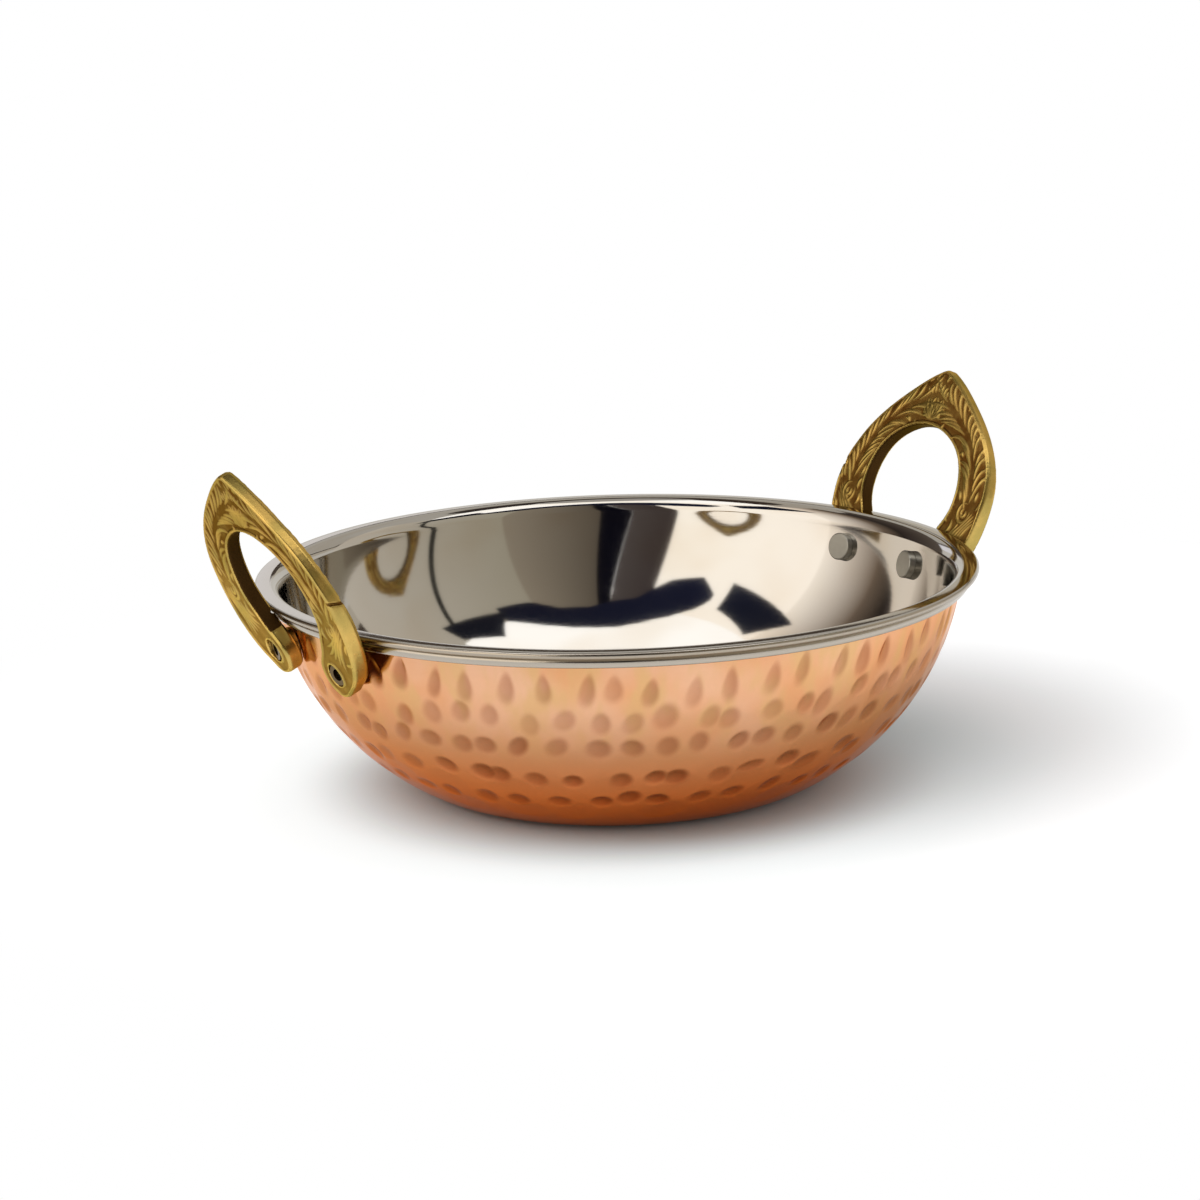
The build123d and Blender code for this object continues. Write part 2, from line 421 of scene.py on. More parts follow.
@dataclass(frozen=True)
class PaleFloor:
    """White floor that keeps the shadow near the bowl and fades to plain white further out. A
    painted glow lifts it round the bowl, missing near the bowl and round the middle of its shadow,
    and near the bowl it is painted a cooler colour against the copper's warm bounce light.
    """

    colour: Colour = (0.76, 0.78, 0.81)
    # Painted: a cooler floor colour near the bowl, against the copper's warm bounce light.
    beneath: Colour = (0.54, 0.76, 0.84)
    bounce_reach: Pair = (0.035, 0.105)
    # Painted light: a glow that lifts the floor for the camera and the metal, missing near the bowl
    # and round the middle of its shadow.
    shade_middle: Triple = (0.057, 0.005, 0.0)
    lift: float = 0.44
    lift_near: Pair = (0.045, 0.071)
    lift_side: Pair = (0.0, 0.11)
    fade: Pair = (0.10, 0.21)

    def material(self) -> Material:
        """Build the material."""
        sheet = ShaderSheet.named("pale_floor")
        where, seen = sheet.place(), sheet.seen()
        across, aside = sheet.reach(where), sheet.reach(where, self.shade_middle)
        # Painted cooler colour near the bowl.
        tint = sheet.mix(across.rising(*self.bounce_reach), self.beneath, self.colour)
        lit = sheet.node("ShaderNodeBsdfDiffuse", None, {"Color": tint})
        # Painted light: the glow round the bowl.
        lift = seen * self.lift * across.rising(*self.lift_near) * aside.rising(*self.lift_side)
        glow = sheet.node("ShaderNodeEmission", None, {"Color": lift, "Strength": 1.0})
        near = sheet.node("ShaderNodeAddShader", None, {0: lit, 1: glow})
        white = sheet.node("ShaderNodeEmission", None, {"Color": WHITE, "Strength": 1.0})
        far = aside.rising(*self.fade) * seen
        return sheet.finish(sheet.node("ShaderNodeMixShader", None, {0: far, 1: near, 2: white}))


@dataclass(frozen=True)
class CardGlow:
    """Light of a studio card, with soft shades like a real room's."""

    strength: float = 1.0
    shade: Colour = (0.94, 0.90, 0.85)
    clouds: Grain = Grain(1.1, 2.0, 11.0, (0.42, 0.68))

    def material(self, name: str) -> Material:
        """Build the material of one card, whose mesh carries its tint."""
        sheet = ShaderSheet.named(name)
        tint = sheet.field(Field.TINT, "Color")
        tint = sheet.mix(sheet.grain(sheet.place(), self.clouds), tint, self.shade, "MULTIPLY")
        light = {"Color": tint, "Strength": self.strength}
        return sheet.finish(sheet.node("ShaderNodeEmission", None, light))


# Meshes


def smooth_piece(name: str, points: Array, faces: Array, finish: Material) -> Piece:
    """Make a smooth-shaded object.

    Args:
        name: the object's name.
        points: n x 3 places in metres.
        faces: m x 4 corner numbers.
        finish: its material.

    Returns:
        The object, linked into the scene.
    """
    mesh = bpy.data.meshes.new(name)
    mesh.vertices.add(len(points))
    mesh.vertices.foreach_set("co", points.astype(np.float32).ravel())
    mesh.loops.add(faces.size)
    mesh.loops.foreach_set("vertex_index", faces.astype(np.int32).ravel())
    mesh.polygons.add(len(faces))
    starts = np.arange(0, faces.size, faces.shape[1], dtype=np.int32)
    mesh.polygons.foreach_set("loop_start", starts)
    mesh.update(calc_edges=True)
    mesh.shade_smooth()
    mesh.materials.append(finish)
    piece = bpy.data.objects.new(name, mesh)
    bpy.context.scene.collection.objects.link(piece)
    return piece


def carry(piece: Piece, name: Field, values: Array) -> None:
    """Store a number on each point of a piece's mesh."""
    layer = piece.data.attributes.new(name.value, "FLOAT", "POINT")
    layer.data.foreach_set("value", values.astype(np.float32).ravel())


def ring_faces(rows: int, columns: int) -> Array:
    """Corner numbers of a turned section's faces, outward where it runs anticlockwise."""
    row = columns * np.arange(rows - 1)[:, None]
    column = np.arange(columns)[None, :]
    after = (column + 1) % columns
    corners = [row + column, row + after, row + columns + after, row + columns + column]
    return np.stack(np.broadcast_arrays(*corners), -1).reshape(-1, 4)


def arc_points(centre: Pair, radius: float, start: float, end: float, count: int) -> Array:
    """Points (radius, height) on an arc between two angles in degrees."""
    turn = np.radians(np.linspace(start, end, count))
    return np.stack([centre[0] + radius * np.cos(turn), centre[1] + radius * np.sin(turn)], -1)


def joined(*stretches: Array) -> Array:
    """One line from several stretches, without doubled points where they meet."""
    line = np.concatenate([np.atleast_2d(s) for s in stretches])
    step = np.linalg.norm(np.diff(line, axis=0), axis=1)
    return line[np.concatenate([[True], step > 1e-6 * MM])]


def eased(share: Array) -> Array:
    """A share from 0 to 1, flattened at both ends."""
    return share * share * (3 - 2 * share)


def run_along(line: Array) -> Array:
    """Distance along a line at each of its points."""
    return np.concatenate([[0.0], np.cumsum(np.linalg.norm(np.diff(line, axis=0), axis=1))])


def resampled(line: Array, spacing: float) -> Array:
    """Points at even steps along a line."""
    run = run_along(line)
    marks = np.linspace(0.0, run[-1], max(2, int(round(run[-1] / spacing)) + 1))
    return np.stack([np.interp(marks, run, line[:, i]) for i in range(line.shape[1])], -1)


# The bowls


@dataclass(frozen=True)
class BowlCurve:
    """The round side that both bowls share: an arc that meets the flat base in a round."""

    rim_radius: float
    height: float
    copper_set_in: float = 3.8 * MM
    rim_band: float = 3.5 * MM
    base_radius: float = 39.0 * MM
    base_round: float = 20.0 * MM
    side_radius: float = 54.0 * MM
    nest_gap: float = 0.05 * MM
    corner_points: int = 200
    side_points: int = 400

    @property
    def copper_top(self) -> float:
        """Height of the copper's upper edge."""
        return self.height - self.rim_band - self.nest_gap

    @property
    def centre(self) -> Pair:
        """Centre (radius, height) of the side's arc."""
        top_radius = self.rim_radius - self.copper_set_in
        across, rise = top_radius - self.base_radius, self.copper_top
        chord = math.hypot(across, rise)
        stand_off = math.sqrt(self.side_radius**2 - (chord / 2) ** 2)
        return (
            (self.base_radius + top_radius) / 2 - stand_off * rise / chord,
            rise / 2 + stand_off * across / chord,
        )

    def section(self, inset: float, top: float, spacing: float) -> Array:
        """Line from the axis out along the base and up the side.

        Args:
            inset: distance of this surface from the copper's outside.
            top: height where the line ends.
            spacing: step between points.

        Returns:
            Points (radius, height), evenly spaced.
        """
        centre, side = self.centre, self.side_radius - inset
        corner = self.base_round - inset
        lift = centre[1] - self.base_round
        corner_centre = (centre[0] + math.sqrt((side - corner) ** 2 - lift**2), self.base_round)
        meet = math.degrees(math.atan2(-lift, corner_centre[0] - centre[0]))
        end = math.degrees(math.asin((top - centre[1]) / side))
        line = joined(
            np.array([[0.0, inset]]),
            arc_points(corner_centre, corner, -90.0, meet, self.corner_points),
            arc_points(centre, side, meet, end, self.side_points),
        )
        return resampled(line, spacing)

    def side_radius_at(self, inset: float, height: float) -> float:
        """Radius of the side at a height, on the surface at an inset."""
        rise = self.centre[1] - height
        return self.centre[0] + math.sqrt((self.side_radius - inset) ** 2 - rise**2)


def turned(section: Array, columns: int) -> Array:
    """Turn a section of points (radius, height) round Z, into rows x columns x 3 places."""
    turn = np.linspace(0.0, math.tau, columns, endpoint=False)
    radius, height = section[:, :1], np.broadcast_to(section[:, 1:], (len(section), columns))
    return np.stack([radius * np.cos(turn), radius * np.sin(turn), height], -1)


@dataclass(frozen=True)
class MarkRow:
    """One row of hammer marks round the copper, in millimetres."""

    height: float
    count: int
    width: float
    length: float
    depth: float
    taper: float = 0.0
    strength: float = 1.0


@dataclass(frozen=True)
class HammerHand:
    """How each dent is shaped and given its painted shade, and how far the hand strays, as shares
    of its step and size.
    """

    bearing: float = 0.14
    rise: float = 0.6 * MM
    size: float = 0.09
    lean: float = 0.12
    lean_swing: float = 0.10
    force: float = 0.22
    shade: float = 0.12
    taper: float = 0.6
    roundness: float = 1.2
    edge: float = 1.14
    edge_width: float = 0.62
    # Painted shade: each dent's tint is darker towards one side, as a shaded crescent.
    crescent: float = 0.38
    crescent_lean: float = 0.4
    crescent_slope: float = 0.7


@dataclass
class CopperBowl:
    """The outer bowl with five rows of hammer marks on five rows of broad shallow blows."""

    curve: BowlCurve
    finish: HammeredCopper = HammeredCopper()
    hand: HammerHand = HammerHand()
    thickness: float = 0.8 * MM
    columns: int = 1400
    spacing: float = 0.33 * MM
    inside_spacing: float = 1.0 * MM
    base_points: int = 40
    seed: int = 7
    rows: tuple[MarkRow, ...] = (
        MarkRow(36.8, 60, 3.9, 7.8, 0.34, 0.55, 0.74),
        MarkRow(29.8, 62, 4.8, 6.0, 0.34, 0.15, 0.64),
        MarkRow(23.6, 60, 5.2, 5.6, 0.38, 0.0, 0.80),
        MarkRow(16.4, 54, 5.4, 5.6, 0.40, 0.0, 0.95),
        MarkRow(10.2, 47, 5.2, 5.2, 0.38, 0.0, 0.95),
        MarkRow(33.2, 37, 10.0, 9.0, 0.13, 0.0, 0.0),
        MarkRow(26.6, 35, 10.0, 8.5, 0.13, 0.0, 0.0),
        MarkRow(20.0, 33, 10.0, 8.5, 0.13, 0.0, 0.0),
        MarkRow(13.2, 29, 10.0, 8.5, 0.13, 0.0, 0.0),
        MarkRow(7.0, 25, 9.0, 8.0, 0.12, 0.0, 0.0),
    )

    def build(self) -> Piece:
        """Build, dress and place the bowl."""
        curve, top = self.curve, self.curve.copper_top
        outside = curve.section(0.0, top, self.spacing)
        inside = curve.section(self.thickness, top, self.inside_spacing)[::-1]
        inside = turned(inside, self.columns)
        push, mark_and_shade = self._marks(outside, run_along(outside))
        slope = np.gradient(outside, axis=0)
        slope /= np.linalg.norm(slope, axis=1, keepdims=True)
        turn = np.linspace(0.0, math.tau, self.columns, endpoint=False)
        outward = np.stack([
            slope[:, 1:] * np.cos(turn), slope[:, 1:] * np.sin(turn),
            np.broadcast_to(-slope[:, :1], (len(outside), self.columns)),
        ], -1)
        places = turned(outside, self.columns) - outward * push[..., None]
        faces = ring_faces(len(outside) + len(inside), self.columns)
        points = np.concatenate([places, inside]).reshape(-1, 3)
        piece = smooth_piece("copper_shell", points, faces, self.finish.material())
        carry(piece, Field.MARK_AND_SHADE, np.concatenate([mark_and_shade, np.zeros(inside.shape[:2])]))
        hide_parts("copper_bowl")
        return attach(piece, "root")

    def _marks(self, outside: Array, run: Array) -> tuple[Array, Array]:
        """Depth of the hammer marks, and where they make the copper duller, redder and darker; the
        colour is painted shade, darker on one side of each dent.

        Args:
            outside: section of the outer surface.
            run: distance along it.

        Returns:
            Depth in metres and share from 0 to 1, both rows x columns.
        """
        draw, hand = np.random.default_rng(self.seed), self.hand
        side = slice(self.base_points, None)
        depth = np.zeros((len(outside), self.columns))
        share = np.zeros_like(depth)
        around = np.linspace(0.0, math.tau, self.columns, endpoint=False)
        for row in self.rows:
            at_run = np.interp(row.height * MM, outside[side, 1], run[side])
            radius = np.interp(at_run, run, outside[:, 0])
            first = draw.uniform(0.0, math.tau)
            for number in range(row.count):
                wobble = draw.normal(0.0, 1.0, 6)
                bearing = first + math.tau * (number + hand.bearing * wobble[0]) / row.count
                rise = at_run + hand.rise * wobble[1]
                half_width = row.width * MM / 2 * (1 + hand.size * wobble[2])
                half_length = row.length * MM / 2 * (1 + hand.size * wobble[3])
                lean = hand.lean + hand.lean_swing * wobble[4]
                sideways = (np.mod(around - bearing + math.pi, math.tau) - math.pi) * radius
                columns = np.nonzero(np.abs(sideways) < 3 * half_width)[0]
                rows = np.nonzero(np.abs(run - rise) < 2 * half_length)[0]
                along = (run[rows] - rise)[:, None] / half_length
                across = sideways[columns][None, :] - lean * along * half_length
                narrowing = 1 - row.taper * np.clip(along, -1, 1) * hand.taper
                across = across / (half_width * narrowing)
                reach = np.sqrt(across**2 + along**2)
                bowl = np.clip(1 - reach**2, 0, None) ** hand.roundness
                window = np.ix_(rows, columns)
                force = row.depth * MM * (1 + hand.force * wobble[5])
                depth[window] = np.maximum(depth[window], force * bowl)
                edge = eased(np.clip((hand.edge - reach) / hand.edge_width, 0, 1))
                # Painted shade: the tint grows darker across each dent towards one side.
                shaded = across + hand.crescent_lean * along
                shaded = np.clip(0.5 + hand.crescent_slope * shaded, 0, 1)
                fill = row.strength * (1 + hand.shade * wobble[5])
                fill = fill * (1 - hand.crescent + hand.crescent * shaded) * edge
                share[window] = np.maximum(share[window], fill)
        return depth, share


@dataclass
class SteelLiner:
    """The polished inner bowl with its rolled rim."""

    curve: BowlCurve
    finish: PolishedSteel = PolishedSteel()
    inset: float = 0.85 * MM
    thickness: float = 1.0 * MM
    lip_width: float = 3.0 * MM
    lip_thickness: float = 1.3 * MM
    flare_drop: float = 2.8 * MM
    groove_depth: float = 2.5 * MM
    bead_reach: float = 0.9 * MM
    crease: float = 0.12 * MM
    inside_spacing: float = 0.6 * MM
    outside_spacing: float = 1.5 * MM
    round_points: int = 24
    lip_points: int = 16
    dull_and_shade_before: int = 3
    dull_and_shade_below: float = 0.5 * MM
    dull_and_shade_levels: Triple = (0.6, 1.0, 0.5)
    columns: int = 720

    def build(self) -> Piece:
        """Build, dress and place the liner."""
        section = self._section()
        points = turned(section, self.columns).reshape(-1, 3)
        faces = ring_faces(len(section), self.columns)
        piece = smooth_piece("steel_bowl", points, faces[:, ::-1], self.finish.material())
        # Painted shade: from just before the lip's outermost point on, over its underside, the
        # groove and the bead, the steel is darker and rougher, most at the lip's underside.
        edge = int(np.argmax(section[:, 0])) - self.dull_and_shade_before
        under = self.curve.height - self.lip_thickness
        heights = (under - self.dull_and_shade_below, under, self.curve.height)
        dull_and_shade = np.interp(section[:, 1], heights, self.dull_and_shade_levels)
        dull_and_shade[:edge] = 0.0
        carry(piece, Field.DULL_AND_SHADE, np.repeat(dull_and_shade, self.columns))
        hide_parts("steel_liner")
        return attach(piece, "root")

    def _section(self) -> Array:
        """The liner's whole section, from the axis up the inside, over the rim and back."""
        curve = self.curve
        deep = self.inset + self.thickness
        flare = curve.height - self.flare_drop
        inner = curve.section(deep, flare, self.inside_spacing)
        slope = inner[-1] - inner[-2]
        slope /= np.linalg.norm(slope)
        lip_start = np.array([curve.rim_radius - self.lip_width, curve.height])
        reach = np.linalg.norm(lip_start - inner[-1])
        ends = slope * reach, np.array([reach, 0.0])
        turn_over = hermite(inner[-1], lip_start, *ends, self.round_points)
        half = self.lip_thickness / 2
        lip_centre = (curve.rim_radius - half, curve.height - half)
        lip = arc_points(lip_centre, half, 90.0, -90.0, self.lip_points)
        groove = curve.rim_radius - self.groove_depth
        under, bottom = curve.height - self.lip_thickness, curve.height - curve.rim_band
        angles = np.radians(np.linspace(90.0, -90.0, self.round_points))
        swell = (under + bottom) / 2 + (under - bottom) / 2 * np.sin(angles)
        bead = np.stack([groove + self.bead_reach * np.cos(angles), swell], -1)
        outer = curve.section(self.inset, flare, self.outside_spacing)[::-1]
        foot = np.array([[curve.side_radius_at(self.inset, bottom), bottom]])
        soft = self.crease
        crease = np.array([[groove + 2 * soft, under], [groove + soft / 2, under - soft / 2]])
        return joined(inner, turn_over, lip, crease, bead[2:], foot, outer)


def hermite(start: Array, end: Array, leave: Array, arrive: Array, count: int) -> Array:
    """Points on a smooth curve between two places with given directions at its ends."""
    t = np.linspace(0.0, 1.0, count)[:, None]
    return (
        (2 * t**3 - 3 * t**2 + 1) * start + (t**3 - 2 * t**2 + t) * leave
        + (-2 * t**3 + 3 * t**2) * end + (t**3 - t**2) * arrive
    )


# Handles


@dataclass(frozen=True)
class Stroke:
    """One raised line of the ornament, thin at both ends, in millimetres on the plate."""

    line: Array
    half_width: float
    blunt: float = 0.5
    least: float = 0.02

    def lift(self, places: Array) -> Array:
        """Height share, from 0 to 1, of the stroke's round ridge at places on the plate."""
        share = np.zeros(len(places))
        low, high = self.line.min(0) - self.half_width, self.line.max(0) + self.half_width
        near = np.nonzero(np.all((places > low) & (places < high), axis=1))[0]
        if not len(near):
            return share
        best = np.zeros(len(near))
        last = len(self.line) - 1
        for number in range(last):
            start, step = self.line[number], self.line[number + 1] - self.line[number]
            along = np.clip((places[near] - start) @ step / max(step @ step, 1e-12), 0, 1)
            gap = np.linalg.norm(places[near] - start - along[:, None] * step, axis=1)
            swell = np.sin(math.pi * (number + along) / last).clip(self.least) ** self.blunt
            ridge = np.sqrt(np.clip(1 - (gap / (swell * self.half_width)) ** 2, 0, None))
            best = np.maximum(best, ridge * swell)
        share[near] = best
        return share


@dataclass
class Ornament:
    """Blades, buds and leaves that climb both legs to a tulip under the point, in millimetres.

    Places on a leg are shares of its middle line, counted from the rim. Three numbers for the
    flames are a size, its change from one flame of a group to the next, and the hand's sway.
    A vein's are shares of its leaf's length, bow and width. A curl has its place (further on,
    aside) and its turn, length and bow. The rays' feet are apart, at a height, and drop.
    """

    centre_line: tuple[Pair, ...] = (
        (16.2, -5.0), (19.0, -1.0), (20.1, 4.5), (19.9, 10.0), (16.3, 18.0), (8.6, 24.6),
        (0.0, 28.2),
    )
    knot_points: int = 12
    stroke_points: int = 11
    half_width: float = 0.5
    step: float = 0.25
    vein: Triple = (0.82, 0.15, 0.9)
    blade_offsets: tuple[float, ...] = (-4.0, -2.8, -1.6, -0.4, 0.8, 2.0, 3.2, 4.4)
    blade_starts: Pair = (0.01, 0.04)
    blade_lengths: Pair = (8.0, 10.5)
    blade_sway: float = 0.5
    blade_foot: float = 0.8
    blade_fan: float = 0.045
    blade_bow: float = 0.28
    bud_shares: Pair = (0.21, 0.24)
    bud_radii: Pair = (0.7, 1.8)
    bud_turn: Pair = (0.25 * math.pi, 1.9 * math.pi)
    bud_blunt: float = 0.35
    flames: int = 13
    flame_group: int = 4
    flame_shares: Triple = (0.27, 0.052, 0.004)
    flame_stagger: float = 0.02
    flame_offset: Pair = (0.5, 0.15)
    flame_opening: Triple = (0.44, 0.06, 0.05)
    flame_length: Triple = (8.2, -0.7, 0.5)
    flame_bow: Triple = (0.55, 0.12, 0.15)
    curl_place: Pair = (0.16, 3.6)
    curl_shape: Triple = (0.9, 2.4, 0.6)
    petals: tuple[Triple, ...] = (
        (90.0, 5.2, 1.0), (62.0, 5.4, 0.7), (118.0, 5.4, 0.7), (38.0, 4.6, 0.5), (142.0, 4.6, 0.5),
    )
    petal_foot: Pair = (0.0, 22.8)
    rays: int = 3
    ray_foot: Triple = (1.05, 29.0, 0.28)
    ray_fan: float = 9.0
    ray_length: Pair = (2.6, 0.3)
    ray_bow: float = 0.12
    ray_width: float = 0.36
    fillers: int = 900
    long_fillers: int = 400
    filler_lengths: tuple[Pair, Pair] = ((2.6, 4.6), (1.2, 2.4))
    filler_reach: float = 6.0
    filler_turn: Pair = (0.45, 0.25)
    filler_bow: float = 0.5
    filler_gap: float = 1.9
    seed: int = 3

    def strokes(self) -> list[Stroke]:
        """Every raised line, in drawing order."""
        draw = np.random.default_rng(self.seed)
        lines = [resampled(self._curve(side), self.step) for side in (1.0, -1.0)]
        made: list[Stroke] = []
        for line, bud_share in zip(lines, self.bud_shares):
            made += self._blades(line, draw)
            made += self._bud(line, bud_share)
            made += self._flames(line, draw)
        made += self._tulip()
        for line in lines:
            made += self._fillers(line, made, draw)
        return made

    def _curve(self, side: float) -> Array:
        """Smooth middle line of one leg, from the rim to the top."""
        knots = np.array(self.centre_line) * (side, 1.0)
        pads = np.concatenate([[2 * knots[0] - knots[1]], knots, [2 * knots[-1] - knots[-2]]])
        parts = []
        for number in range(1, len(pads) - 2):
            before, start, end, after = pads[number - 1:number + 3]
            slopes = (end - before) / 2, (after - start) / 2
            parts.append(hermite(start, end, *slopes, self.knot_points))
        return joined(*parts)

    @staticmethod
    def _on(line: Array, share: float, offset: float = 0.0) -> tuple[Array, float]:
        """Place and heading at a share of a line, moved sideways by an offset."""
        number = int(np.clip(share, 0, 1) * (len(line) - 2))
        ahead = line[number + 1] - line[number]
        ahead = ahead / np.linalg.norm(ahead)
        place = line[number] + offset * np.array([-ahead[1], ahead[0]])
        return place, math.atan2(ahead[1], ahead[0])

    def _bent(
        self, start: Array, heading: float, length: float, bow: float, width: float = 0.0
    ) -> Stroke:
        """A stroke from a place along a heading, bowed to its left."""
        ahead = np.array([math.cos(heading), math.sin(heading)])
        left = np.array([-ahead[1], ahead[0]])
        t = np.linspace(0, 1, self.stroke_points)[:, None]
        line = start + length * t * ahead + 4 * bow * t * (1 - t) * left
        return Stroke(line, width or self.half_width)

    def _leaf(self, heading: float, length: float, spread: float) -> list[Stroke]:
        """A pointed petal with its vein, from the tulip's foot."""
        foot, turn = np.array(self.petal_foot), math.radians(heading)
        shorter, bow, thinner = self.vein
        return [
            self._bent(foot, turn, length, spread),
            self._bent(foot, turn, length, -spread),
            self._bent(foot, turn, length * shorter, bow * spread, self.half_width * thinner),
        ]

    @staticmethod
    def _swayed(sizes: Triple, number: int, draw: Dice) -> float:
        """A size, its change by number, and the hand's sway."""
        return sizes[0] + sizes[1] * number + draw.normal(0, sizes[2])

    def _blades(self, line: Array, draw: Dice) -> list[Stroke]:
        """Long blades that fan out of the rim up the foot of a leg."""
        made = []
        for number, offset in enumerate(self.blade_offsets):
            foot = self.blade_foot * offset
            start, heading = self._on(line, self.blade_starts[number % 2], foot)
            length = self.blade_lengths[number % 2] + draw.normal(0, self.blade_sway)
            turn = heading - self.blade_fan * offset
            made.append(self._bent(start, turn, length, -self.blade_bow * offset))
        return made

    def _bud(self, line: Array, share: float) -> list[Stroke]:
        """A round bud of nested curls."""
        centre, heading = self._on(line, share)
        made = []
        for number, radius in enumerate(self.bud_radii):
            turn = heading + 0.5 * number + np.linspace(*self.bud_turn, 19)
            curl = centre + radius * np.stack([np.cos(turn), 1.2 * np.sin(turn)], -1)
            made.append(Stroke(curl, self.half_width, self.bud_blunt))
        return made

    def _fillers(self, line: Array, drawn: list[Stroke], draw: Dice) -> list[Stroke]:
        """Short strokes in the ground of one leg that the other strokes leave bare."""
        taken = np.concatenate([stroke.line for stroke in drawn])
        made = []
        for attempt in range(self.fillers):
            offset = draw.uniform(-self.filler_reach, self.filler_reach)
            place, heading = self._on(line, draw.uniform(0.0, 1.0), offset)
            outward, sway = self.filler_turn
            turn = heading + math.copysign(outward, offset) + draw.normal(0.0, sway)
            length = draw.uniform(*self.filler_lengths[attempt >= self.long_fillers])
            stroke = self._bent(place, turn, length, draw.normal(0.0, self.filler_bow))
            gap = np.linalg.norm(taken[None] - stroke.line[1:-1:2, None], axis=2).min()
            if gap > self.filler_gap * self.half_width:
                made.append(stroke)
                taken = np.concatenate([taken, stroke.line])
        return made

    def _flames(self, line: Array, draw: Dice) -> list[Stroke]:
        """Long curved strokes that leave the middle line to both sides, like a feather's."""
        made = []
        for number in range(self.flames):
            share = self._swayed(self.flame_shares, number, draw)
            group = number % self.flame_group
            offset = self.flame_offset[0] + self.flame_offset[1] * group
            for hand in (1.0, -1.0):
                start, heading = self._on(line, share + self.flame_stagger * hand, offset * hand)
                opening = hand * self._swayed(self.flame_opening, group, draw)
                length = self._swayed(self.flame_length, group, draw)
                bow = -hand * self._swayed(self.flame_bow, group, draw)
                made.append(self._bent(start, heading + opening, length, bow))
                if group == 0:
                    further, aside = self.curl_place
                    opening, length, bow = self.curl_shape
                    curl, turn = self._on(line, share + further, aside * hand)
                    made.append(self._bent(curl, turn + opening * hand, length, bow * hand))
        return made

    def _tulip(self) -> list[Stroke]:
        """Upright petals over the hole, with short rays up to the point."""
        made = []
        for petal in self.petals:
            made += self._leaf(*petal)
        apart, level, drop = self.ray_foot
        for ray in range(-self.rays, self.rays + 1):
            start = np.array([apart * ray, level - drop * abs(ray)])
            heading = math.radians(90 - self.ray_fan * ray)
            length = self.ray_length[0] - self.ray_length[1] * abs(ray)
            made.append(self._bent(start, heading, length, self.ray_bow * ray, self.ray_width))
        return made


